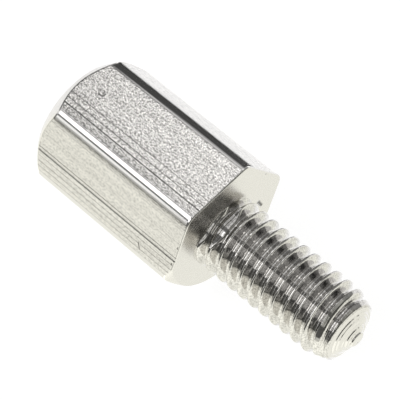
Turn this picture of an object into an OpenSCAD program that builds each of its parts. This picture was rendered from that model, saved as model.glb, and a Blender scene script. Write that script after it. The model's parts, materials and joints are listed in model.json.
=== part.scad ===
// Hex standoff: a hexagonal brass spacer with a threaded stud on one end and a tapped hole in the other.
// It lies on one flat, with +X along the stud, +Z up and the origin at the centre of the shoulder.
// All sizes are in millimetres and degrees.

/* [Hexagonal bar] */
// Width across the flats of the bar
across_flats = 7; // [6:0.5:12]
// Length of the hexagonal body, from its end face to its shoulder
body_length = 10; // [9:0.5:40]
// Radius of the rounded edges between the flats
edge_radius = 0.6; // [0.2:0.05:0.9]
// How far the bar's centre lies beside the turned axis
bar_offset = 0.1; // [0:0.05:0.2]

/* [Turned ends] */
// Radial width of the end face's chamfer, measured in from the rounded edges
end_chamfer_width = 0.9; // [0.3:0.05:1.2]
// Slope of the end face's chamfer, measured from the face
end_chamfer_angle = 46; // [20:1:50]
// Radial width of the shoulder's chamfer, measured in from the rounded edges
shoulder_chamfer_width = 0.15; // [0.1:0.05:0.6]
// Slope of the shoulder's chamfer, measured from the face
shoulder_chamfer_angle = 38; // [20:1:50]
// How far the shoulder's chamfer runs off centre, sideways: it cuts the far corners less
shoulder_chamfer_side = 0.4; // [0:0.05:0.5]
// How far the shoulder's chamfer runs off centre, upwards: it cuts the upper corners less
shoulder_chamfer_rise = 0.35; // [0:0.05:0.5]

/* [Thread] */
// Major diameter of the stud's thread, and of the tapped hole's thread
thread_diameter = 4; // [3:0.5:4.5]
// Pitch of both threads
thread_pitch = 0.7; // [0.5:0.05:0.8]
// Distance from the shoulder to the thread's first crest, along the underside
first_crest = 0.25; // [0.2:0.025:0.5]

/* [Stud] */
// Length of the stud, from the shoulder to the end of its nib
stud_length = 8.9; // [6:0.1:30]
// Radial depth of the lead-in chamfer
lead_depth = 0.38; // [0.2:0.02:0.5]
// Slope of the lead-in chamfer, measured from the axis
lead_angle = 20; // [15:1:50]
// Slope of the conical point beyond the lead-in chamfer, measured from the axis
point_angle = 67; // [45:1:75]
// Diameter of the flat at the end of the cone
point_flat = 0.95; // [0.95:0.05:1.4]
// Diameter of the nib left by parting off
nib_diameter = 0.85; // [0.4:0.05:0.9]
// Length of the nib
nib_length = 0.12; // [0.02:0.02:0.3]
// Radial width of the flare where the stud meets the shoulder
flare_width = 0.25; // [0.1:0.05:0.4]
// Length of that flare, down to the root of the thread
flare_length = 0.3; // [0.1:0.05:0.5]

/* [Tapped hole] */
// Depth of the hole's straight wall, from the end face
hole_depth = 7.5; // [4:0.5:7.5]
// Full angle of the drill's point at the bottom of the hole
drill_angle = 118; // [100:1:140]
// Depth of the countersink at the hole's mouth
countersink_depth = 0.5; // [0.2:0.05:0.6]
// Full angle of the countersink
countersink_angle = 90; // [60:5:100]

/* [Hidden] */
$fn = 96;

// Hexagon. The rounded edges stand a hair proud of the flats, so that each meets its flats along a clear line.
hexagon_sides = 6;
corner_angle = 180 / hexagon_sides;
edge_centre = (across_flats / 2 - edge_radius) / cos(corner_angle);
edge_crown = 0.001;
edge_reach = edge_centre + edge_radius + edge_crown + bar_offset;
end_face_radius = edge_reach - end_chamfer_width;
shoulder_radius = edge_reach - shoulder_chamfer_width;

// Metric thread profile: 60 degree flanks, crests an eighth of the pitch wide
flank_angle = 30;
thread_radius = thread_diameter / 2;
thread_depth = 17 / 24 * thread_pitch * cos(flank_angle);
root_radius = thread_radius - thread_depth;
tap_drill_radius = (thread_diameter - thread_pitch) / 2;

// The ridge is swept in straight steps. Its foot is sunk into the core, and its crest stands just
// proud of the major diameter, which trims it back to true round patches at that diameter.
steps_per_turn = 36;
foot_sink = 0.05;
crest_relief = 0.0005;
foot_radius = root_radius - foot_sink;
crest_radius = (thread_radius - crest_relief) / cos(180 / steps_per_turn);
function half_width(radius) = thread_pitch / 16 + (thread_radius - radius) * tan(flank_angle);

// Places along the stud
point_radius = thread_radius - lead_depth;
nib_radius = nib_diameter / 2;
nib_start = stud_length - nib_length;
point_start = nib_start - (point_radius - point_flat / 2) / tan(point_angle);
lead_start = point_start - lead_depth / tan(lead_angle);
sunk_turns = ceil((first_crest + half_width(foot_radius)) / thread_pitch);
sunk_length = sunk_turns * thread_pitch;

// Section of the drawn bar: three crossed slabs and round edges between them
module bar_section() {
    flat_width = 2 * edge_centre * sin(corner_angle);
    translate([0, bar_offset]) {
        for (side = [0 : hexagon_sides / 2 - 1])
            rotate(2 * corner_angle * side) square([across_flats, flat_width], center = true);
        rotate(corner_angle) circle(r = edge_centre, $fn = hexagon_sides);
        for (side = [0 : hexagon_sides - 1])
            rotate(2 * corner_angle * side + corner_angle)
                translate([edge_centre, 0]) circle(r = edge_radius + edge_crown);
    }
}

// Length of bar, turned down to a cone at each end. The shoulder's cone runs off centre.
module hexagonal_body() {
    clear_radius = edge_reach + shoulder_chamfer_side + shoulder_chamfer_rise;
    end_drop = (clear_radius - end_face_radius) * tan(end_chamfer_angle);
    shoulder_drop = (clear_radius - shoulder_radius) * tan(shoulder_chamfer_angle);
    intersection() {
        translate([0, 0, -body_length]) linear_extrude(body_length) bar_section();
        translate([0, 0, -body_length]) rotate_extrude() polygon([
            [0, 0], [end_face_radius, 0], [clear_radius, end_drop],
            [clear_radius, body_length], [0, body_length]]);
        translate([-shoulder_chamfer_rise, shoulder_chamfer_side, 0]) rotate_extrude() polygon([
            [0, -body_length], [clear_radius, -body_length], [clear_radius, -shoulder_drop],
            [shoulder_radius, 0], [0, 0]]);
    }
}

// One right-hand helical ridge, its crest starting below the shoulder
module thread_ridge() {
    last = ceil((point_start - first_crest + sunk_length + thread_pitch) / thread_pitch * steps_per_turn);
    profile = [
        [foot_radius, -half_width(foot_radius)], [crest_radius, -half_width(crest_radius)],
        [crest_radius, half_width(crest_radius)], [foot_radius, half_width(foot_radius)]];
    corners = len(profile);
    points = [for (step = [0 : last]) for (corner = profile) let (turn = step / steps_per_turn) [
        corner[0] * cos(360 * turn), corner[0] * sin(360 * turn),
        first_crest - sunk_length + turn * thread_pitch + corner[1]]];
    sides = [for (step = [0 : last - 1]) for (edge = [0 : corners - 1])
        let (a = corners * step + edge, b = corners * step + (edge + 1) % corners)
        each [[a, b, b + corners], [a, b + corners, a + corners]]];
    first_cap = [for (edge = [corners - 1 : -1 : 0]) edge];
    last_cap = [for (edge = [0 : corners - 1]) corners * last + edge];
    polyhedron(points, concat(sides, [first_cap, last_cap]));
}

// Outline that the lathe gives the stud, before the thread is cut
module stud_outline() {
    rotate_extrude() polygon([
        [0, -sunk_length], [thread_radius, -sunk_length], [thread_radius, lead_start], [point_radius, point_start],
        [point_flat / 2, nib_start], [nib_radius, nib_start], [nib_radius, stud_length], [0, stud_length]]);
}

// Threaded stud, with its flare against the shoulder
module threaded_stud() {
    intersection() {
        stud_outline();
        union() {
            translate([0, 0, -sunk_length]) cylinder(r = root_radius, h = stud_length + 2 * sunk_length);
            thread_ridge();
        }
    }
    cylinder(r1 = thread_radius + flare_width, r2 = root_radius, h = flare_length);
}

// Blind hole for the female thread, with the drill's point at its bottom and a countersunk mouth
module tapped_hole() {
    mouth_radius = tap_drill_radius + countersink_depth * tan(countersink_angle / 2);
    bottom = hole_depth + tap_drill_radius / tan(drill_angle / 2);
    translate([0, 0, -body_length]) rotate_extrude() polygon([
        [0, -countersink_depth], [mouth_radius, -countersink_depth], [mouth_radius, 0],
        [tap_drill_radius, countersink_depth], [tap_drill_radius, hole_depth], [0, bottom]]);
}

module hex_standoff() {
    color("silver") rotate([0, 90, 0]) difference() {
        union() {
            hexagonal_body();
            threaded_stud();
        }
        tapped_hole();
    }
}

hex_standoff();
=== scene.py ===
import json
import math

import bpy
import numpy as np
from mathutils import Matrix, Vector


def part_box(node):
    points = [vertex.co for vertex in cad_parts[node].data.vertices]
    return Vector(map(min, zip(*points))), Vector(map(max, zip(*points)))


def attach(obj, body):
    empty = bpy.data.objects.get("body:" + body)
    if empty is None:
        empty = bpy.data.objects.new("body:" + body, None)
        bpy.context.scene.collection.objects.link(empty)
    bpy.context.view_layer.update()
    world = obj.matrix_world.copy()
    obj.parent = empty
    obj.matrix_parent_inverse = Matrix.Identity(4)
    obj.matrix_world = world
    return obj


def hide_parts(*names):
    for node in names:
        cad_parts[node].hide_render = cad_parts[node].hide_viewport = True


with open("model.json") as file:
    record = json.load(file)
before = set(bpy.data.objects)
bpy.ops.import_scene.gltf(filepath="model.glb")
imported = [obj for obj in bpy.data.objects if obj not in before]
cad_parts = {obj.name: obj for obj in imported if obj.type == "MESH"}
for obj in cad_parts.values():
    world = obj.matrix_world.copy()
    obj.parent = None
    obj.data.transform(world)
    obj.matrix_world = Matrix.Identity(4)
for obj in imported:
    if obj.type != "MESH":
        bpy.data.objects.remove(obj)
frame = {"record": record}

bl_info = {
    "name": "Hex Standoff",
    "version": (1, 0, 0),
    "blender": (4, 5, 0),
    "location": "3D View > Sidebar > Standoff",
    "description": "Builds a plated male-female hex standoff with both its threads, and a light tent",
    "category": "Add Mesh",
}

MM = 0.001
FULL_TURN = 2 * math.pi
NODE = "hex_standoff"
LOW, HIGH = (Vector(corner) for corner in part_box(NODE))
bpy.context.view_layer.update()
MOUNTS = {mount["name"]: mount["dims"] for mount in frame["record"]["mounts"]}


def linear(hex_colour):
    """Linear red, green and blue of an sRGB colour written as RRGGBB."""
    srgb = np.array([int(hex_colour[i:i + 2], 16) for i in (0, 2, 4)]) / 255
    parts = np.where(srgb <= 0.04045, srgb / 12.92, ((srgb + 0.055) / 1.055) ** 2.4)
    return tuple(float(part) for part in parts)


# Properties


def length(name, description, millimetres):
    return bpy.props.FloatProperty(
        name=name, description=description, default=millimetres * MM, min=0, unit="LENGTH",
        subtype="DISTANCE", precision=5)


def angle(name, description, degrees):
    return bpy.props.FloatProperty(
        name=name, description=description, default=math.radians(degrees), unit="ROTATION", subtype="ANGLE")


def colour(name, description, hex_colour):
    return bpy.props.FloatVectorProperty(
        name=name, description=description, default=linear(hex_colour), size=3, min=0, max=1,
        subtype="COLOR")


def factor(name, description, default):
    return bpy.props.FloatProperty(
        name=name, description=description, default=default, min=0, max=1, subtype="FACTOR")


class StandoffSizes(bpy.types.PropertyGroup):
    """Sizes of the standoff. The main ones come from the solid's box and its mounts."""
    across_flats: length("Across flats", "Width across the flats of the bar", (HIGH.z - LOW.z) / MM)
    body_length: length("Body length", "Length of the hexagonal body", -LOW.x / MM)
    edge_radius: length("Edge radius", "Radius of the rounded edges between the flats", 0.6)
    bar_offset: length("Bar offset", "How far the bar's centre lies beside the turned axis",
                       (HIGH.y + LOW.y) / 2 / MM)
    roll_off: length("Roll-off", "How far each flat falls away towards its edges", 0.012)
    roll_off_width: length("Roll-off width", "Width over which it falls away", 0.4)
    edge_break: length("Edge break", "Radius that tumbling leaves on every turned edge", 0.11)
    face_break: length("Face break", "Radius left between the shoulder's chamfer and its face", 0.03)
    end_chamfer_width: length("End chamfer width", "Radial width of the end face's chamfer", 0.9)
    end_chamfer_angle: angle("End chamfer angle", "Slope of that chamfer, from the face", 46)
    shoulder_chamfer_width: length("Shoulder chamfer width", "Radial width of the shoulder's chamfer", 0.15)
    shoulder_chamfer_angle: angle("Shoulder chamfer angle", "Slope of that chamfer, from the face", 38)
    shoulder_chamfer_side: length("Shoulder chamfer side", "How far that cone runs off centre, sideways", 0.4)
    shoulder_chamfer_rise: length("Shoulder chamfer rise", "How far that cone runs off centre, upwards", 0.35)
    thread_radius: length("Thread radius", "Major radius of both threads", MOUNTS["stud"]["r_mm"])
    thread_pitch: length("Thread pitch", "Pitch of both threads", 0.7)
    first_crest: length("First crest", "Distance from the shoulder to the first crest, underneath", 0.25)
    stud_length: length("Stud length", "Length of the stud, to the end of its nib", HIGH.x / MM)
    lead_depth: length("Lead depth", "Radial depth of the lead-in chamfer", 0.38)
    lead_angle: angle("Lead angle", "Slope of the lead-in chamfer, from the axis", 20)
    point_angle: angle("Point angle", "Slope of the conical point beyond it, from the axis", 67)
    point_flat: length("Point flat", "Radius of the flat at the end of the cone", 0.475)
    nib_radius: length("Nib radius", "Radius of the nib left by parting off", 0.425)
    nib_length: length("Nib length", "Length of the nib", 0.12)
    flare_width: length("Flare width", "How far the stud flares past its thread's root", 0.45)
    flare_length: length("Flare length", "Length of that flare", 0.3)
    run_in_radius: length("Run-in radius", "Radius that the tool's run-in leaves of the first ridge", 1.70)
    tap_radius: length("Tap radius", "Minor radius of the female thread", MOUNTS["tapped_hole"]["r_mm"])
    hole_depth: length("Hole depth", "Depth of the tapped hole's straight wall, from the end face", 7.5)
    thread_depth: length("Thread depth", "Depth of the last full turn of the female thread", 6.4)
    drill_angle: angle("Drill angle", "Full angle of the drill's point at the bottom of the hole", 118)
    countersink_depth: length("Countersink depth", "Depth of the 90 degree countersink at the mouth", 0.5)


class StandoffFinish(bpy.types.PropertyGroup):
    """Colours and roughness of the plating."""
    plate: colour("Plate", "Colour of the nickel plate", "D9D7D4")
    # The colour on the bar's edges is near white: a painted highlight that brightens their reflections
    painted_highlight: colour("Burnished", "Colour of the plate on the bar's burnished edges", "F8F6F4")
    tarnish: colour("Tarnish", "Colour of the plate where tarnish and dirt lie in its marks", "8F8D8A")
    # The dirt colour darkens the bottoms of the marks of handling: partly dirt, partly painted shade
    dirt: colour("Dirt", "Colour of the dirt in the marks of handling", "4E4B48")
    drawn: factor("Drawn roughness", "Roughness of the drawn flats", 0.07)
    turned: factor("Turned roughness", "Roughness of the turned faces", 0.24)
    cut: factor("Cut roughness", "Roughness of the cut threads and of the point", 0.06)


class StandoffStudio(bpy.types.PropertyGroup):
    """Camera, cloth and floor of the studio."""
    tent: bpy.props.FloatProperty(
        name="Tent", description="Brightness of the light tent's cloth", default=1.22, min=0)
    sheet: bpy.props.FloatProperty(
        name="Sheet", description="Brightness of the floor, a sheet lit through from below", default=0.88,
        min=0)
    azimuth: angle("Azimuth", "Camera's direction round the standoff, from straight in front", 53.74)
    elevation: angle("Elevation", "Camera's height above the level", 60)
    roll: angle("Roll", "Turn of the camera about its own view", -10.63)
    distance: length("Distance", "From the camera to the plane of the shoulder's centre", 109.8)
    aim_left: length("Aim left", "How far left of the shoulder's centre the camera looks", 1.168)
    aim_up: length("Aim up", "How far above the shoulder's centre the camera looks", 1.502)
    lens: bpy.props.FloatProperty(name="Lens", description="Focal length", default=202.1, unit="CAMERA")


# Surfaces: every point lies at some place x along the axis and some radius from it, at the angle of its
# column, which is counted right-handed about +X from the underside. Sizes are in metres.

SIDES = 6
FLAT_COLUMNS = 14
EDGE_COLUMNS = 10

# Lines that the drawing die has scored along the bar: the side, counted from the underside right-handed
# about +X, the place across that flat, the width and the depth, in millimetres
DRAW_LINES = (
    (3, 0.62, 0.06, 0.018),
    (3, 0.97, 0.06, 0.018),
    (3, 1.27, 0.10, 0.030),
    (4, -1.39, 0.025, 0.0022),
    (4, -0.49, 0.02, 0.0018),
    (4, 0.37, 0.05, 0.0044),
    (4, 0.577, 0.12, 0.0105),
    (4, 0.87, 0.03, 0.0026),
    (4, 1.155, 0.03, 0.0026),
    (4, 1.42, 0.025, 0.0022),
)

# Section of a draw line, in shares of its width: its two edges and its bottom, the columns over it, and how
# far from its middle the flat's own columns begin
LINE_SECTION = (-0.5, -0.3, 0.5)
LINE_COLUMNS = np.array([-0.6, -0.5, -0.3, -0.2, 0.4, 0.5, 0.6])
LINE_CLEAR = 0.8

# Profile of the metric thread: half its crest's width and its depth, in shares of the pitch, and the slope
# of its flanks, measured from the radius
HALF_CREST = 1 / 16
FLANK = math.radians(30)
DEPTH = 17 / 24 * math.cos(FLANK)

# Widths over which one cut rounds into the next
CREST_ROUND = 0.025 * MM
ROOT_ROUND = 0.05 * MM
GROOVE_ROUND = 0.03 * MM
RUN_IN_ROUND = 0.06 * MM
FLARE_ROUND = 0.03 * MM
POINT_ROUND = 0.02 * MM

# Run-in of the thread's tool, in degrees from the top towards the near side: where it starts, where it is
# whole, where it ends beside the shoulder and further out, and how wide its fading end is
RUN_IN_START = -40
RUN_IN_WHOLE = -5
RUN_IN_END_FIRST = 85
RUN_IN_END = 70
RUN_IN_FADE = 45

# How steeply the run-in's bottom falls towards the stud's end, and how far it lies above that where there is
# none; the depth and spacing of its steps; and the share of the flare that it takes away
RUN_IN_SLOPE = 0.1
RUN_IN_RISE = 0.5 * MM
STEP_DEPTH = 0.005 * MM
STEP_SPACING = 0.16 * MM
FLARE_TAKEN = 0.6

# Pitches over which the female thread's groove fades out past its last full turn
FADE_PITCHES = 1.2


def there_and_back(shares):
    """Rows of one pitch: the shares from a crest to half way, and the same mirrored on to the next crest."""
    shares = np.array(shares)
    return np.concatenate([shares, [0.5], 1 - shares[:0:-1]])


THREAD_ROWS = there_and_back([0, 0.045, 0.065, 0.09, 0.15, 0.22, 0.30, 0.36, 0.41, 0.455])
TAP_ROWS = there_and_back([0, 0.07, 0.2, 0.36])

# Other rows, in shares of the way over the surface that they divide
DRILL_ROWS = np.array([0, 0.12, 0.3, 0.5, 0.7, 0.85, 0.96, 1])[:, None]
SINK_ROWS = np.array([0, 0.4, 0.8])[:, None]
FACE_ROWS = np.array([0.01, 0.05, 0.25, 0.5, 0.75, 1])[:, None]
FLAT_ROWS = np.concatenate([[0.005], np.linspace(0.03, 0.97, 20), [0.995]])[:, None]
SHOULDER_ROWS = np.array([0.02, 0.15, 0.35, 0.55, 0.75, 0.9, 0.97, 1])[:, None]
EDGE_ROWS = 5
CONE_ROWS = 32

# Grooves that the tool leaves round the stud's point: radius, width and depth in millimetres, and the rows
# beside each, in shares of its width
GROOVES = (
    (0.53, 0.03, 0.025),
    (0.70, 0.05, 0.050),
    (0.87, 0.03, 0.015),
    (1.12, 0.04, 0.036),
    (1.30, 0.045, 0.045),
)
GROOVE_ROWS = (-1.8, -1.2, -0.7, -0.2, 0.2, 0.7, 1.2, 1.8)

# How far the thread's surface runs down the cone past the lead-in chamfer, and the nib's rounded edge: how
# far it reaches along the axis and in towards it, and the radii of the rows on the nib's end
THREAD_PAST = 0.1 * MM
NIB_ROUND_ALONG = 0.07 * MM
NIB_ROUND_IN = 0.10 * MM
NIB_ROWS = (0.2 * MM, 0.1 * MM, 0)


def bar_columns(sizes):
    """Angle and radius of points round the drawn bar, one for each column of every surface.

    Each side is a flat, at half the width across the flats, and then a round edge. Towards the edges the
    flat rolls off along a parabola. The edge is the arc that meets both flats without a kink: its centre
    lies on the line from the bar's centre through the corner. A draw line is a groove with one steep side
    and one gentle one. All is worked out about the bar's own centre, moved aside by the bar's offset, and
    turned to angle and radius.
    """
    corner = math.pi / SIDES
    apothem = sizes.across_flats / 2
    half_flat = (apothem - sizes.edge_radius) * math.tan(corner)
    slope = 2 * sizes.roll_off / sizes.roll_off_width
    lean = math.atan(slope)
    edge = apothem - sizes.roll_off
    arc_radius = (math.tan(corner) * edge - half_flat) / (math.tan(corner) * math.cos(lean) - math.sin(lean))
    arc_centre = (half_flat - arc_radius * math.sin(lean), edge - arc_radius * math.cos(lean))
    turn = np.linspace(lean, 2 * corner - lean, EDGE_COLUMNS, endpoint=False)
    even = np.linspace(-1, 1, FLAT_COLUMNS, endpoint=False)
    y, z = [], []
    for side in range(SIDES):
        along = half_flat * np.sin(even * math.pi / 2)
        lines = [line[1:] for line in DRAW_LINES if line[0] == side]
        for place, width, depth in lines:
            along = along[np.abs(along - place * MM) > LINE_CLEAR * width * MM]
            along = np.concatenate([along, (place + width * LINE_COLUMNS) * MM])
        along = np.sort(along)
        over = np.clip((np.abs(along) - half_flat + sizes.roll_off_width) / sizes.roll_off_width, 0, 1)
        height = apothem - sizes.roll_off * over ** 2
        for place, width, depth in lines:
            height -= np.interp((along / MM - place) / width, LINE_SECTION, (0, depth * MM, 0))
        along = np.concatenate([along, arc_centre[0] + arc_radius * np.sin(turn)])
        height = np.concatenate([height, arc_centre[1] + arc_radius * np.cos(turn)])
        bearing = 2 * corner * side
        y.append(height * math.sin(bearing) + along * math.cos(bearing))
        z.append(along * math.sin(bearing) - height * math.cos(bearing))
    y = np.concatenate(y) + sizes.bar_offset
    z = np.concatenate(z)
    return np.unwrap(np.arctan2(y, -z)), np.hypot(y, z)


def grid(x, radius, column_angle, shift=0):
    """Points and triangles of a grid of x and radius, rows by columns, that closes on itself round the axis.

    Where the rows are helical, the last column of a row meets the first column of the row that lies shift
    rows further on, one pitch along.
    """
    rows, columns = x.shape
    points = np.stack([x, radius * np.sin(column_angle), -radius * np.cos(column_angle)], axis=-1)
    index = np.arange(rows * columns).reshape(rows, columns)
    closing = np.full((rows, 1), -1)
    met = np.arange(rows) + shift
    inside = (met >= 0) & (met < rows)
    closing[inside, 0] = index[met[inside], 0]
    after = np.concatenate([index[:, 1:], closing], axis=1)
    quads = np.stack([index[:-1], after[:-1], after[1:], index[1:]], axis=-1).reshape(-1, 4)
    quads = quads[(quads >= 0).all(axis=1)]
    return points.reshape(-1, 3), np.concatenate([quads[:, [0, 1, 2]], quads[:, [0, 2, 3]]])


def weld(points, triangles):
    """Points within a nanometre of each other become one, and triangles that this flattens are dropped.

    The third result says which triangles stay.
    """
    nanometres = np.round(points / 1e-9).astype(np.int64)
    first, merged = np.unique(nanometres, axis=0, return_index=True, return_inverse=True)[1:]
    triangles = merged.reshape(-1)[triangles]
    whole = (triangles != np.roll(triangles, 1, axis=1)).all(axis=1)
    return points[first], triangles[whole], whole


def soft_min(a, b, blend):
    """The lesser of two surfaces, rounded where they cross by a parabola as wide as blend."""
    share = np.clip(0.5 + (b - a) / (2 * blend), 0, 1)
    return b + (a - b) * share - blend * share * (1 - share)


def soft_max(a, b, blend):
    """The greater of two surfaces, rounded where they cross in the same way."""
    return -soft_min(-a, -b, blend)


def smooth_step(value, low, high):
    """Rises from 0 at low to 1 at high along a cubic."""
    share = np.clip((value - low) / (high - low), 0, 1)
    return share * share * (3 - 2 * share)


def point_outline(sizes):
    """Places x and radii of the corners of the turned point.

    They are where the lead-in chamfer starts, where it meets the cone, and where the cone ends at the flat
    round the nib.
    """
    point_radius = sizes.thread_radius - sizes.lead_depth
    nib_start = sizes.stud_length - sizes.nib_length
    point_start = nib_start - (point_radius - sizes.point_flat) / math.tan(sizes.point_angle)
    lead_start = point_start - sizes.lead_depth / math.tan(sizes.lead_angle)
    return (np.array([lead_start, point_start, nib_start]),
            np.array([sizes.thread_radius, point_radius, sizes.point_flat]))


def helix(x, column_angle, sizes):
    """Turns of the thread from its first crest, and the distance along the axis from the nearest crest."""
    turns = (x - sizes.first_crest) / sizes.thread_pitch - column_angle / FULL_TURN
    return turns, np.abs(turns - np.round(turns)) * sizes.thread_pitch


def stud_radius(x, column_angle, sizes):
    """Radius of the threaded stud.

    A helical ridge with 60 degree flanks lies between the major and the root radius, with its crest an
    eighth of the pitch wide. Near the shoulder it flares out, least over the arc on top where the tool has
    run in and cut the first ridges down, in fine steps. That arc reaches further round at the shoulder than
    at the second ridge. The lathe's outline cuts the ridge down towards the point.
    """
    pitch = sizes.thread_pitch
    turns, from_crest = helix(x, column_angle, sizes)
    root = sizes.thread_radius - DEPTH * pitch
    flank = sizes.thread_radius - (from_crest - HALF_CREST * pitch) / math.tan(FLANK)
    thread = soft_max(soft_min(flank, sizes.thread_radius, CREST_ROUND), root, ROOT_ROUND)
    over = np.degrees(column_angle) % 360 - 180
    end = np.where(turns < -0.5, RUN_IN_END_FIRST, RUN_IN_END)
    run_in = smooth_step(over, RUN_IN_START, RUN_IN_WHOLE) * (1 - smooth_step(over, end - RUN_IN_FADE, end))
    steps = STEP_DEPTH * np.cos(FULL_TURN * x / STEP_SPACING)
    bottom = sizes.run_in_radius - RUN_IN_SLOPE * (x - sizes.flare_length)
    bottom = bottom + steps + (1 - run_in) * RUN_IN_RISE
    thread = np.where(turns < 0.5, soft_min(thread, bottom, RUN_IN_ROUND), thread)
    foot = sizes.flare_width * (1 - FLARE_TAKEN * run_in)
    flare = root + foot * (1 - np.clip(x / sizes.flare_length, 0, 1)) ** 2
    outline = np.interp(x, *point_outline(sizes))
    return soft_min(soft_max(thread, flare, FLARE_ROUND), outline, POINT_ROUND)


def hole_radius(x, column_angle, sizes):
    """Radius of the tapped hole.

    A helical groove runs from the minor to the major radius and fades out past the last full turn. A 90
    degree countersink opens the mouth.
    """
    pitch = sizes.thread_pitch
    from_groove = helix(x, column_angle, sizes)[1]
    inward = x + sizes.body_length
    fade = smooth_step(inward, sizes.thread_depth, sizes.thread_depth + FADE_PITCHES * pitch)
    bottom = sizes.tap_radius + (sizes.thread_radius - sizes.tap_radius) * (1 - fade)
    flank = bottom - (from_groove - HALF_CREST * pitch) / math.tan(FLANK)
    groove = soft_max(soft_min(flank, bottom, GROOVE_ROUND), sizes.tap_radius, GROOVE_ROUND)
    return np.maximum(groove, sizes.tap_radius + sizes.countersink_depth - inward)


def sink_start(sizes):
    """Place x where the countersink is as wide as the female thread."""
    return sizes.tap_radius + sizes.countersink_depth - sizes.thread_radius - sizes.body_length


def helical_rows(rows, column_angle, sizes, start, stop):
    """Places x of helical rows that fill the length from start to stop, both ends squared off.

    Each row is a helix of the thread's pitch, with the crests at whole turns. Rows past either end lie on
    it.
    """
    pitch = sizes.thread_pitch
    before = math.ceil((sizes.first_crest - start) / pitch) + 2
    turns = math.ceil((stop - start) / pitch) + 4
    phase = (np.arange(turns)[:, None] + rows).ravel() - before
    x = sizes.first_crest + pitch * (phase[:, None] + column_angle / FULL_TURN)
    return np.clip(x, start, stop)


def bore_surface(column_angle, sizes):
    """Drill point and female thread, from the bottom of the hole out to the countersink."""
    bottom = sizes.hole_depth - sizes.body_length
    tip = bottom + sizes.tap_radius / math.tan(sizes.drill_angle / 2)
    rows = DRILL_ROWS * np.ones_like(column_angle)
    wall = hole_radius(np.full_like(column_angle, bottom), column_angle, sizes)
    point = grid(tip + (bottom - tip) * rows, wall * rows, column_angle)
    x = helical_rows(TAP_ROWS, column_angle, sizes, sink_start(sizes), bottom)[::-1]
    thread = grid(x, hole_radius(x, column_angle, sizes), column_angle, -len(TAP_ROWS))
    return point, thread


def rolled_edge(centre_x, centre_radius, roll, first, last, way):
    """Rows round an arc of the radius roll, from one slope to another. Way is 1 where it bulges to +X."""
    turn = np.linspace(first, last, EDGE_ROWS)[:, None]
    return centre_x + way * roll * np.cos(turn), centre_radius + roll * np.sin(turn)


def body_surface(column_angle, reach, sizes):
    """Countersink, end face, end chamfer, flats and round edges, shoulder chamfer and shoulder, as one grid.

    Each column is a section of the body. Its edges are rolled: an arc of the edge break's radius, about the
    corner of the outline moved inwards by that radius, turns from one surface to the next. The shoulder's
    chamfer is a cone whose axis lies beside the turned one, so its radius at the shoulder is that of a
    circle seen from a point off its centre. It is never so wide that a column loses its chamfer.
    """
    flat = np.ones_like(column_angle)
    roll = sizes.edge_break
    upright = math.pi / 2
    inner = reach - roll

    mouth = sizes.tap_radius + sizes.countersink_depth
    end = -sizes.body_length
    sink = sink_start(sizes) + (end - sink_start(sizes)) * SINK_ROWS * flat
    slope = sizes.end_chamfer_angle
    cone = reach.max() - sizes.end_chamfer_width
    face_end = cone - roll * (1 - math.cos(slope)) / math.sin(slope)
    chamfer_end = end + (roll + math.sin(slope) * (inner - cone)) / math.cos(slope)
    parts = [
        (sink, hole_radius(sink, column_angle, sizes)),
        (end * np.ones_like(FACE_ROWS * flat), mouth + (face_end - mouth) * FACE_ROWS * flat),
        rolled_edge((end + roll) * flat, face_end * flat, roll, 0, slope, -1),
        rolled_edge(chamfer_end, inner, roll, slope, upright, -1),
    ]

    side, rise = sizes.shoulder_chamfer_side, sizes.shoulder_chamfer_rise
    ahead = side * np.sin(column_angle) - rise * np.cos(column_angle)
    aside = side * np.cos(column_angle) + rise * np.sin(column_angle)
    cone = ahead + np.sqrt((reach.max() - sizes.shoulder_chamfer_width) ** 2 - aside ** 2)
    slope = sizes.shoulder_chamfer_angle
    crisp = sizes.face_break
    least = (1 - math.cos(slope)) / math.sin(slope)
    cone = np.minimum(cone, reach - roll * (1 - math.sin(slope)) - crisp * (math.sin(slope) - least))
    chamfer_start = (-roll - math.sin(slope) * (inner - cone)) / math.cos(slope)
    face_start = cone - crisp * least
    foot = stud_radius(0 * flat, column_angle, sizes)
    parts += [
        (chamfer_end + (chamfer_start - chamfer_end) * FLAT_ROWS, reach * np.ones_like(FLAT_ROWS)),
        rolled_edge(chamfer_start, inner, roll, upright, slope, 1),
        rolled_edge(-crisp * flat, face_start, crisp, slope, 0, 1),
        (0 * flat * SHOULDER_ROWS, face_start + (foot - face_start) * SHOULDER_ROWS),
    ]
    return grid(*(np.concatenate(rows) for rows in zip(*parts)), column_angle)


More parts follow.
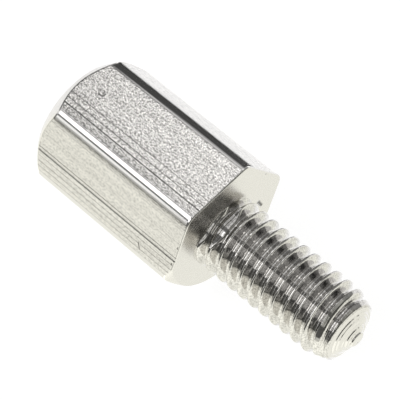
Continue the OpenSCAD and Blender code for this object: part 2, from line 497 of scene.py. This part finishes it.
def stud_surface(column_angle, sizes):
    """Male thread, and the turned point with its nib.

    The thread ends where the cone has cut below its root. From there on every row is a circle: down the
    cone, where each groove is a bell curve of the radius, up a parabola to the nib, round the nib's edge
    and in to its centre.
    """
    point_x, point_radius = point_outline(sizes)
    stop = float(np.interp(THREAD_PAST - point_radius[1], -point_radius, point_x))
    start = float(stud_radius(np.array(stop), np.array(0.0), sizes))
    x = helical_rows(THREAD_ROWS, column_angle, sizes, 0, stop)
    thread = grid(x, stud_radius(x, column_angle, sizes), column_angle, len(THREAD_ROWS))

    nib = sizes.nib_radius
    end = sizes.stud_length
    even = np.linspace(start, sizes.point_flat, CONE_ROWS)[1:]
    beside = [(groove + width * row) * MM for groove, width, depth in GROOVES for row in GROOVE_ROWS]
    cone = np.sort(np.concatenate([even, beside]))[::-1]
    rise = np.array([1 / 3, 2 / 3, 1])
    radius = np.concatenate([cone, sizes.point_flat + (nib - sizes.point_flat) * rise])
    x = np.interp(-radius, -point_radius, point_x)
    x[-len(rise):] += sizes.nib_length / 3 * rise ** 2
    for groove, width, depth in GROOVES:
        x -= depth * MM * np.exp(-((radius - groove * MM) / (width * MM)) ** 2)
    turn = np.linspace(0, math.pi / 2, 6)
    x = np.concatenate([[stop], x, end - NIB_ROUND_ALONG * (1 - np.sin(turn)), [end] * len(NIB_ROWS)])
    radius = np.concatenate([[start], radius, nib - NIB_ROUND_IN * (1 - np.cos(turn)), NIB_ROWS])
    flat = np.ones_like(column_angle)
    return thread, grid(x[:, None] * flat, radius[:, None] * flat, column_angle)


# Materials

# Marks of handling, each an even hollow round a line: its two ends, its radius and its depth, in
# millimetres, and how dark its bottom is painted, partly as dirt and partly as painted shade in the hollow
WEAR_AND_SHADE = (
    ((-8.45, 0.36, 3.5), (-8.40, 0.36, 3.5), 0.30, 0.006, 0.0),
    ((-8.62, 0.41, 3.5), (-8.41, 0.22, 3.5), 0.06, 0.004, 0.5),
    ((-8.39, 0.21, 3.5), (-8.20, 0.24, 3.5), 0.06, 0.005, 0.7),
    ((-8.17, 0.26, 3.5), (-8.12, 0.42, 3.5), 0.05, 0.005, 0.7),
    ((-8.22, 0.37, 3.5), (-8.32, 0.52, 3.5), 0.05, 0.004, 0.5),
    ((-2.32, -3.48, 0.80), (-2.13, -3.64, 0.53), 0.055, 0.008, 0.5),
    ((-2.97, -3.555, 0.67), (-2.97, -3.555, 0.67), 0.05, 0.005, 0.4),
    ((0, 2.57, -0.84), (0, 2.42, -0.36), 0.15, 0.080, 1.0),
    ((0, 3.10, 1.52), (-0.05, 3.18, 1.42), 0.08, 0.012, 0.4),
    ((-0.13, -2.83, 1.93), (-0.13, -2.80, 1.98), 0.06, 0.006, 0.7),
    ((-0.15, -3.35, 1.02), (-0.15, -3.33, 1.06), 0.07, 0.008, 0.9),
    ((7.83, -1.80, 0.31), (7.83, -1.80, 0.36), 0.08, 0.008, 0.5),
    ((8.9, -0.06, -0.13), (8.9, -0.06, -0.13), 0.08, 0.010, 0.6),
    ((8.78, -0.41, 0.12), (8.78, -0.41, 0.12), 0.09, 0.010, 0.6),
)


def add(tree, kind, inputs=(), **settings):
    """Adds a node with its settings. Each input is a socket to link or a value to set."""
    new = tree.nodes.new(kind)
    for name, value in settings.items():
        setattr(new, name, value)
    for name, value in dict(inputs).items():
        if isinstance(value, bpy.types.NodeSocket):
            tree.links.new(value, new.inputs[name])
        else:
            new.inputs[name].default_value = value
    return new


def new_material(name):
    material = bpy.data.materials.new(name)
    material.use_nodes = True
    material.node_tree.nodes.clear()
    return material, material.node_tree


def wear_and_shade(tree, place):
    """Height of the marks of handling, and how dark they are painted: partly dirt, partly painted shade.

    The nearest point of a mark's line is found by dropping the place onto it, and the hollow rises from its
    full depth there to nothing at the mark's radius.
    """
    height = 0.0
    dirt_and_shade = 0.0
    for first, last, radius, depth, dirt_and_shade_share in WEAR_AND_SHADE:
        line = Vector(last) - Vector(first)
        out = add(tree, "ShaderNodeVectorMath", {0: place, 1: Vector(first) * MM}, operation="SUBTRACT")
        if line.length:
            drop = add(tree, "ShaderNodeVectorMath", {0: out.outputs[0], 1: line / line.length_squared / MM},
                       operation="DOT_PRODUCT")
            drop = add(tree, "ShaderNodeClamp", {0: drop.outputs["Value"]})
            foot = add(tree, "ShaderNodeVectorMath", {0: line * MM, "Scale": drop.outputs[0]},
                       operation="SCALE")
            out = add(tree, "ShaderNodeVectorMath", {0: out.outputs[0], 1: foot.outputs[0]},
                      operation="SUBTRACT")
        away = add(tree, "ShaderNodeVectorMath", {0: out.outputs[0]}, operation="LENGTH")
        hollow = add(tree, "ShaderNodeMapRange", {
            "Value": away.outputs["Value"], "From Max": radius * MM, "To Min": 1.0, "To Max": 0.0},
            interpolation_type="SMOOTHSTEP").outputs[0]
        height = add(tree, "ShaderNodeMath", {0: hollow, 1: -depth * MM, 2: height},
                     operation="MULTIPLY_ADD").outputs[0]
        dirt_and_shade = add(tree, "ShaderNodeMath", {0: hollow, 1: dirt_and_shade_share, 2: dirt_and_shade},
                   operation="MULTIPLY_ADD").outputs[0]
    return height, dirt_and_shade


# Grain of the plate, drawn coarser than the real one, which is a few hundredths of a millimetre and
# wouldn't show, and a little longer along the bar, as drawing leaves it
GRAIN_SIZE = 0.09 * MM
GRAIN_ALONG = 0.7

# Height z over which handling's frost comes in on the upmost flat, and the grain's and the specks' share
# elsewhere
FROST_START = 3.3 * MM
FROST_FULL = 3.45 * MM
GRAIN_ELSEWHERE = 0.25
SPECKS_ELSEWHERE = 1.6
SPECKS_ON_TOP = 3.6

# How far the bar's centre line lies beside the turned axis, the distance from it beyond which the die's
# burnishing has left the bar no grain and a paler colour is painted on as a highlight, the width over which
# that comes in, and a distance that nothing reaches
BAR_MIDDLE = 0.1 * MM
BURNISHED_AND_HIGHLIT_FROM = 3.885 * MM
BURNISHED_AND_HIGHLIT_SOFT = 0.02 * MM
NOWHERE = 1.0


def nickel_plate(name, finish, roughness, pattern, height, grain_height, edge, tarnish):
    """Bright nickel plate over machined brass: a warm white metal.

    The plate follows the tool marks under it, so they show as fine lines in the reflections. Its own grain
    breaks the reflections into a sparkle, most of all on top, where handling has frosted it. Where the
    surface is further than edge from the bar's centre line, the die's burnishing has left it no grain, and a
    paler colour is painted there as a highlight. pattern gives the tool marks' coordinates, and height and
    grain_height say how much both stand out. Tarnish and dirt that wiping leaves in the marks darken them, as
    strongly as tarnish says. The bottoms of the marks of handling are darkened towards the dirt colour,
    partly as dirt and partly as painted shade.
    """
    material, tree = new_material(name)
    place = add(tree, "ShaderNodeTexCoord").outputs["Object"]
    apart = add(tree, "ShaderNodeSeparateXYZ", {0: place})
    marks = add(tree, "ShaderNodeTexNoise", {
        "Vector": pattern(tree, place), "Scale": 1.0, "Detail": 3.0, "Roughness": 0.6})
    drawn_out = add(tree, "ShaderNodeVectorMath", {0: place, 1: (GRAIN_ALONG, 1.0, 1.0)},
                    operation="MULTIPLY")
    grain = add(tree, "ShaderNodeTexNoise", {
        "Vector": drawn_out.outputs[0], "Scale": 1 / GRAIN_SIZE, "Detail": 2.0, "Roughness": 0.6})

    out = add(tree, "ShaderNodeVectorMath", {0: place, 1: (0.0, 1.0, 1.0)}, operation="MULTIPLY")
    out = add(tree, "ShaderNodeVectorMath", {0: out.outputs[0], 1: (0.0, BAR_MIDDLE, 0.0)},
              operation="DISTANCE")
    # inside is 0 on the bar's edges, where the grain is left off and the painted highlight goes
    inside = add(tree, "ShaderNodeMapRange", {
        "Value": out.outputs["Value"], "From Min": edge - BURNISHED_AND_HIGHLIT_SOFT, "From Max": edge,
        "To Min": 1.0, "To Max": 0.0})
    frost = add(tree, "ShaderNodeMapRange", {
        "Value": apart.outputs[2], "From Min": FROST_START, "From Max": FROST_FULL,
        "To Min": GRAIN_ELSEWHERE * grain_height, "To Max": grain_height})
    frost = add(tree, "ShaderNodeMath", {0: frost.outputs[0], 1: inside.outputs[0]}, operation="MULTIPLY")
    worn, dirt_and_shade = wear_and_shade(tree, place)
    bumps = add(tree, "ShaderNodeMath", {0: grain.outputs["Fac"], 1: frost.outputs[0]}, operation="MULTIPLY")
    bumps = add(tree, "ShaderNodeMath", {0: marks.outputs["Fac"], 1: height, 2: bumps.outputs[0]},
                operation="MULTIPLY_ADD")
    bumps = add(tree, "ShaderNodeMath", {0: bumps.outputs[0], 1: worn}, operation="ADD")
    bump = add(tree, "ShaderNodeBump", {"Strength": 1.0, "Distance": 1.0, "Height": bumps.outputs[0]})
    rough = add(tree, "ShaderNodeMapRange", {
        "Value": grain.outputs["Fac"], "From Min": 0.3, "From Max": 0.7,
        "To Min": 0.7 * roughness, "To Max": 1.4 * roughness})

    stain = add(tree, "ShaderNodeMapRange", {
        "Value": marks.outputs["Fac"], "From Min": 0.35, "From Max": 0.65, "To Min": tarnish, "To Max": 0.0})
    specks = add(tree, "ShaderNodeMapRange", {
        "Value": apart.outputs[2], "From Min": FROST_START, "From Max": FROST_FULL,
        "To Min": SPECKS_ELSEWHERE * tarnish, "To Max": SPECKS_ON_TOP * tarnish})
    specks = add(tree, "ShaderNodeMapRange", {
        "Value": grain.outputs["Fac"], "From Min": 0.35, "From Max": 0.55,
        "To Min": specks.outputs[0], "To Max": 0.0})
    stain = add(tree, "ShaderNodeMath", {0: stain.outputs[0], 1: specks.outputs[0]}, operation="ADD")
    tint = add(tree, "ShaderNodeMix", {
        "Factor": stain.outputs[0], "A": (*finish.plate, 1), "B": (*finish.tarnish, 1)}, data_type="RGBA")
    # On the bar's edges the colour gives way to the near-white painted highlight
    tint = add(tree, "ShaderNodeMix", {
        "Factor": inside.outputs[0], "A": (*finish.painted_highlight, 1), "B": tint.outputs["Result"]},
        data_type="RGBA")
    # The bottoms of the marks of handling darken towards the dirt colour: partly dirt, partly painted shade
    tint = add(tree, "ShaderNodeMix", {
        "Factor": dirt_and_shade, "A": tint.outputs["Result"], "B": (*finish.dirt, 1)}, data_type="RGBA")

    shader = add(tree, "ShaderNodeBsdfPrincipled", {
        "Base Color": tint.outputs["Result"], "Metallic": 1.0, "Roughness": rough.outputs[0],
        "Normal": bump.outputs["Normal"]})
    add(tree, "ShaderNodeOutputMaterial", {"Surface": shader.outputs[0]})
    return material


def draw_lines(tree, place):
    """Lines that the drawing die leaves along the bar: long along X, about 0.15 mm apart across it."""
    scale = (1 / (12 * MM), 1 / (0.15 * MM), 1 / (0.15 * MM))
    return add(tree, "ShaderNodeMapping", {"Vector": place, "Scale": scale}).outputs[0]


def thread_lines(tree, place):
    """Lines that the thread's tool leaves along the thread, about 0.05 mm apart.

    The pattern runs with the share of the pitch, which is the place along the axis less the turn round it,
    so it repeats with every turn. It changes slowly along each line, over about 0.8 mm.
    """
    pitch = 0.7 * MM
    lines_per_pitch = 14.0
    line_length = 0.8 * MM
    apart = add(tree, "ShaderNodeSeparateXYZ", {0: place})
    under = add(tree, "ShaderNodeMath", {0: apart.outputs[2], 1: -1.0}, operation="MULTIPLY")
    bearing = add(tree, "ShaderNodeMath", {0: apart.outputs[1], 1: under.outputs[0]}, operation="ARCTAN2")
    turns = add(tree, "ShaderNodeMath", {0: apart.outputs[0], 1: 1 / pitch}, operation="MULTIPLY")
    turns = add(tree, "ShaderNodeMath", {0: bearing.outputs[0], 1: -1 / FULL_TURN, 2: turns.outputs[0]},
                operation="MULTIPLY_ADD")
    phase = add(tree, "ShaderNodeMath", {0: turns.outputs[0]}, operation="FRACT")
    lines = add(tree, "ShaderNodeMath", {0: phase.outputs[0], 1: lines_per_pitch}, operation="MULTIPLY")
    slow = add(tree, "ShaderNodeVectorMath", {0: place, "Scale": 1 / line_length}, operation="SCALE")
    slow = add(tree, "ShaderNodeSeparateXYZ", {0: slow.outputs[0]})
    along = add(tree, "ShaderNodeMath", {0: slow.outputs[0], 1: 1.3, 2: slow.outputs[1]},
                operation="MULTIPLY_ADD")
    return add(tree, "ShaderNodeCombineXYZ", {
        0: lines.outputs[0], 1: along.outputs[0], 2: slow.outputs[2]}).outputs[0]


def turning_lines(tree, place):
    """Rings that the lathe's tool leaves, about 0.08 mm apart: the pattern runs with x and the radius."""
    apart = add(tree, "ShaderNodeSeparateXYZ", {0: place})
    squares = [add(tree, "ShaderNodeMath", {0: apart.outputs[axis], 1: 2.0}, operation="POWER").outputs[0]
               for axis in (1, 2)]
    total = add(tree, "ShaderNodeMath", {0: squares[0], 1: squares[1]}, operation="ADD")
    radius = add(tree, "ShaderNodeMath", {0: total.outputs[0]}, operation="SQRT")
    rings = add(tree, "ShaderNodeCombineXYZ", {0: apart.outputs[0], 1: radius.outputs[0]})
    scale = (1 / (0.08 * MM),) * 3
    return add(tree, "ShaderNodeMapping", {"Vector": rings.outputs[0], "Scale": scale}).outputs[0]


# Finishes of the standoff, in the order of its material slots
DRAWN, TURNED, THREAD, POINT = range(4)

# How far a face of the body leans along the axis, as a share of its normal, where the lathe has turned it
TURNED_LEAN = 0.3


# Operators


class StandoffBuild(bpy.types.Operator):
    """Build the standoff with both its threads"""
    bl_idname = "mesh.standoff_build"
    bl_label = "Standoff"

    def execute(self, context):
        points, triangles, finishes = self.surfaces(context.scene.standoff_sizes)
        mesh = bpy.data.meshes.new("standoff")
        mesh.from_pydata(points, [], triangles)
        for material in self.plating(context.scene.standoff_finish):
            mesh.materials.append(material)
        mesh.polygons.foreach_set("material_index", finishes)
        mesh.polygons.foreach_set("use_smooth", np.ones(len(mesh.polygons), bool))
        if mesh.validate():
            raise RuntimeError("the standoff's mesh has bad faces")
        piece = bpy.data.objects.new("standoff", mesh)
        context.scene.collection.objects.link(piece)
        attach(piece, "root")
        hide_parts(NODE)
        print("standoff:", len(points), "points,", len(triangles), "triangles")
        return {"FINISHED"}

    def surfaces(self, sizes):
        """Points, triangles and each triangle's finish, with all surfaces joined into one closed shell.

        The body's own flats are drawn. What the lathe has cut on it leans along the axis, and is turned.
        """
        column_angle, reach = bar_columns(sizes)
        drill_point, female = bore_surface(column_angle, sizes)
        male, point = stud_surface(column_angle, sizes)
        body = body_surface(column_angle, reach, sizes)
        surfaces = ((drill_point, TURNED), (female, THREAD), (body, DRAWN), (male, THREAD), (point, POINT))
        all_points = []
        all_triangles = []
        finishes = []
        start = 0
        for (points, triangles), finish in surfaces:
            all_points.append(points)
            all_triangles.append(triangles + start)
            finishes.append(np.full(len(triangles), finish))
            start += len(points)
        points, triangles, whole = weld(np.concatenate(all_points), np.concatenate(all_triangles))
        finishes = np.concatenate(finishes)[whole]
        corners = points[triangles]
        normal = np.cross(corners[:, 1] - corners[:, 0], corners[:, 2] - corners[:, 0])
        lean = np.abs(normal[:, 0]) / np.maximum(np.linalg.norm(normal, axis=1), 1e-30)
        finishes[(finishes == DRAWN) & (lean > TURNED_LEAN)] = TURNED
        return points, triangles, finishes

    def plating(self, finish):
        """The four finishes of the plate: tool marks, their height and the grain's, and the tarnish."""
        return (
            # On the drawn finish the bar's edges have no grain and take the paler colour painted on as a
            # highlight
            nickel_plate("drawn_nickel_plate", finish, finish.drawn, draw_lines, 0.0016 * MM, 0.012 * MM,
                         BURNISHED_AND_HIGHLIT_FROM, 0.22),
            nickel_plate("turned_nickel_plate", finish, finish.turned, turning_lines, 0.001 * MM, 0.001 * MM,
                         NOWHERE, 0.03),
            nickel_plate("thread_nickel_plate", finish, finish.cut, thread_lines, 0.003 * MM, 0.001 * MM,
                         NOWHERE, 0.3),
            nickel_plate("point_nickel_plate", finish, finish.cut, turning_lines, 0.001 * MM, 0.001 * MM,
                         NOWHERE, 0.05),
        )


# Cloth, flags and openings of the light tent, long strips that run along the standoff's axis, later ones
# over earlier ones. Turn is the angle round the axis, from straight up towards the near side, and lean is
# the angle towards the stud's end. Each has a name, the middle and width of its turn, the middle and width
# of its lean, the softness of its edges, all in degrees, and its brightness.
TENT = (
    ("far cloth", -109, 38, 0, 200, 6, 1.20),
    ("far flag", -67, 46, 0, 200, 5, 0.33),
    ("ceiling", -21, 46, 0, 200, 8, 0.53),
    ("seam", 12, 16, 0, 200, 4, 0.22),
    ("key strip", 37, 34, 0, 200, 4, 0.86),
    ("near flag", 74, 42, 0, 200, 4, 0.13),
    ("near cloth", 101.5, 13, 0, 200, 5, 0.75),
    ("near table", 132, 56, 0, 200, 6, 1.46),
    ("line over the ceiling", -20, 48, -17.5, 8, 2, 1.10),
    ("line over the key strip", 37, 32, -17.5, 8, 2, 3.20),
    ("line over the near cloth", 118, 40, -17.5, 8, 2, 1.50),
    ("shade behind the body", 12, 80, -32.7, 5, 2, 0.33),
    ("stud end's opening", 5.5, 171, 34, 28, 6, 0.12),
    ("cloth ahead", -160, 76, 26, 30, 6, 1.16),
    ("cloth at the stud's end", 0, 360, 80, 50, 6, 1.20),
    ("cloth beyond the stud's end", -97, 74, 62, 44, 6, 1.12),
    ("stud end's second opening", 20, 130, 56, 24, 4, 0.12),
    ("opening behind", -60, 140, -65, 50, 5, 0.08),
    ("dim band over the ceiling", -18.5, 54, -26, 7, 1.5, 0.60),
    ("bright line over the ceiling", -22.7, 7, -25.5, 12, 1.5, 2.85),
    ("second bright line", -9, 3, -25.5, 10, 1, 1.30),
    ("gap in the bright line", -21, 14, -27.4, 1.2, 0.8, 0.50),
    ("second gap in the bright line", -21, 14, -24.6, 1.2, 0.8, 0.50),
    ("seam beside the ceiling", -2, 9, -26, 7, 1.5, 0.38),
    ("band over the far side", -99.2, 80.4, -26, 7, 0.8, 0.055),
    ("middle of the far side's band", -57, 16, -27, 3, 1.5, 0.055),
    ("end of the far side's band", -50, 30, -28.9, 3.6, 1.5, 0.055),
    ("band over the key", 24, 33, -26, 7, 1.5, 1.40),
    ("seam in the band", 47, 15, -26, 7, 1.5, 0.16),
    ("second band over the key", 65.5, 22, -26.2, 5.8, 1, 0.95),
    ("half seam in the band", 84.5, 15, -26, 7, 1.5, 0.46),
    ("second seam in the band", 94, 6, -26, 7, 1, 0.22),
    ("band over the table", 124.5, 55, -26, 7, 1, 1.22),
    ("band under the table", 146, 66, -26, 7, 1.5, 0.88),
    ("band over the far table", -147, 17, -26, 7, 0.8, 1.27),
)


def strip(tree, turn, lean, level, middle, width, lean_middle, lean_width, softness, brightness):
    """Lays one strip over the brightness so far.

    Inside its width in turn and in lean the brightness is the strip's own, and it fades over the softness.
    """
    shares = []
    for bearing, centre, size in ((turn, middle, width), (lean, lean_middle, lean_width)):
        off = add(tree, "ShaderNodeMath", {0: bearing, 1: math.radians(centre)}, operation="SUBTRACT")
        off = add(tree, "ShaderNodeMath", {0: off.outputs[0]}, operation="ABSOLUTE")
        edge = math.radians(size / 2)
        soft = math.radians(softness / 2)
        shares.append(add(tree, "ShaderNodeMapRange", {
            "Value": off.outputs[0], "From Min": edge - soft, "From Max": edge + soft, "To Min": 1.0,
            "To Max": 0.0}, interpolation_type="SMOOTHSTEP").outputs[0])
    inside = add(tree, "ShaderNodeMath", {0: shares[0], 1: shares[1]}, operation="MULTIPLY").outputs[0]
    return add(tree, "ShaderNodeMix", {"Factor": inside, "A": level, "B": brightness}).outputs["Result"]


class StandoffStage(bpy.types.Operator):
    """Set up the light tent, the floor and the camera"""
    bl_idname = "scene.standoff_stage"
    bl_label = "Studio"

    def execute(self, context):
        studio = context.scene.standoff_studio
        self.tent(context, studio)
        self.floor(context, studio)
        self.camera(context, studio)
        context.scene.view_settings.view_transform = "Standard"
        return {"FINISHED"}

    def tent(self, context, studio):
        """White cloth all round, with its panels, openings and flags, a little warmer beside and ahead.

        The camera sees plain white.
        """
        world = bpy.data.worlds.new("light_tent")
        world.use_nodes = True
        tree = world.node_tree
        tree.nodes.clear()
        direction = add(tree, "ShaderNodeTexCoord").outputs["Generated"]
        along = add(tree, "ShaderNodeSeparateXYZ", {0: direction})
        near = add(tree, "ShaderNodeMath", {0: along.outputs[1], 1: -1.0}, operation="MULTIPLY")
        turn = add(tree, "ShaderNodeMath", {0: near.outputs[0], 1: along.outputs[2]}, operation="ARCTAN2")
        lean = add(tree, "ShaderNodeMath", {0: along.outputs[0]}, operation="ARCSINE")
        level = studio.tent
        for name, *size in TENT:
            level = strip(tree, turn.outputs[0], lean.outputs[0], level, *size)
        beside = add(tree, "ShaderNodeMapRange", {
            "Value": turn.outputs[0], "From Min": math.radians(60), "From Max": math.radians(100)})
        ahead = add(tree, "ShaderNodeMapRange", {
            "Value": lean.outputs[0], "From Min": math.radians(5), "From Max": math.radians(20)})
        warm = add(tree, "ShaderNodeMath", {0: beside.outputs[0], 1: ahead.outputs[0]}, operation="MAXIMUM")
        tint = add(tree, "ShaderNodeMix", {
            "Factor": warm.outputs[0], "A": (1, 1, 1, 1), "B": (*linear("FFFFF6"), 1)}, data_type="RGBA")
        cloth = add(tree, "ShaderNodeBackground", {"Color": tint.outputs["Result"], "Strength": level})
        white = add(tree, "ShaderNodeBackground", {"Color": (1, 1, 1, 1), "Strength": 1.0})
        light = add(tree, "ShaderNodeLightPath")
        shown = add(tree, "ShaderNodeMixShader", {
            0: light.outputs["Is Camera Ray"], 1: cloth.outputs[0], 2: white.outputs[0]})
        add(tree, "ShaderNodeOutputWorld", {"Surface": shown.outputs[0]})
        context.scene.world = world

    def floor(self, context, studio):
        """A white sheet under the standoff, lit through from below, that keeps a soft shadow."""
        half = 0.5
        corners = ((-half, -half), (half, -half), (half, half), (-half, half))
        mesh = bpy.data.meshes.new("floor")
        mesh.from_pydata([(x, y, LOW.z) for x, y in corners], [], [range(len(corners))])
        sheet, tree = new_material("white_sheet")
        cloth = add(tree, "ShaderNodeBsdfDiffuse", {"Color": (0.35, 0.35, 0.35, 1)})
        glow = add(tree, "ShaderNodeEmission", {"Color": (1, 1, 1, 1), "Strength": studio.sheet})
        both = add(tree, "ShaderNodeAddShader", {0: cloth.outputs[0], 1: glow.outputs[0]})
        add(tree, "ShaderNodeOutputMaterial", {"Surface": both.outputs[0]})
        mesh.materials.append(sheet)
        floor = bpy.data.objects.new("floor", mesh)
        floor.visible_glossy = False
        context.scene.collection.objects.link(floor)

    def camera(self, context, studio):
        """A long lens, at the azimuth, elevation and roll given, aimed beside the shoulder's centre."""
        around = studio.azimuth
        above = studio.elevation
        level = Vector((math.cos(around), math.sin(around), 0))
        back = Vector((level.y * math.cos(above), -level.x * math.cos(above), math.sin(above)))
        upright = back.cross(level)
        right = level * math.cos(studio.roll) + upright * math.sin(studio.roll)
        up = upright * math.cos(studio.roll) - level * math.sin(studio.roll)
        camera = bpy.data.cameras.new("camera")
        camera.lens = studio.lens
        camera.sensor_width = 36
        camera.clip_start = 0.01
        holder = bpy.data.objects.new("camera", camera)
        place = back * studio.distance - right * studio.aim_left + up * studio.aim_up
        holder.matrix_world = Matrix.Translation(place) @ Matrix((right, up, back)).transposed().to_4x4()
        context.scene.collection.objects.link(holder)
        context.scene.camera = holder


class StandoffPanel(bpy.types.Panel):
    """Builders and sizes of the standoff"""
    bl_idname = "VIEW3D_PT_standoff"
    bl_label = "Hex Standoff"
    bl_space_type = "VIEW_3D"
    bl_region_type = "UI"
    bl_category = "Standoff"

    def draw(self, context):
        layout = self.layout
        layout.operator(StandoffBuild.bl_idname)
        layout.operator(StandoffStage.bl_idname)
        for group in ("standoff_sizes", "standoff_finish", "standoff_studio"):
            settings = getattr(context.scene, group)
            box = layout.box()
            for name in settings.__annotations__:
                box.prop(settings, name)


GROUPS = {
    "standoff_sizes": StandoffSizes,
    "standoff_finish": StandoffFinish,
    "standoff_studio": StandoffStudio,
}
CLASSES = (*GROUPS.values(), StandoffBuild, StandoffStage, StandoffPanel)


def register():
    for item in CLASSES:
        bpy.utils.register_class(item)
    for name, group in GROUPS.items():
        setattr(bpy.types.Scene, name, bpy.props.PointerProperty(type=group))


def unregister():
    for name in GROUPS:
        delattr(bpy.types.Scene, name)
    for item in reversed(CLASSES):
        bpy.utils.unregister_class(item)


def main():
    register()
    bpy.ops.mesh.standoff_build()
    bpy.ops.scene.standoff_stage()


if __name__ == "__main__":
    main()
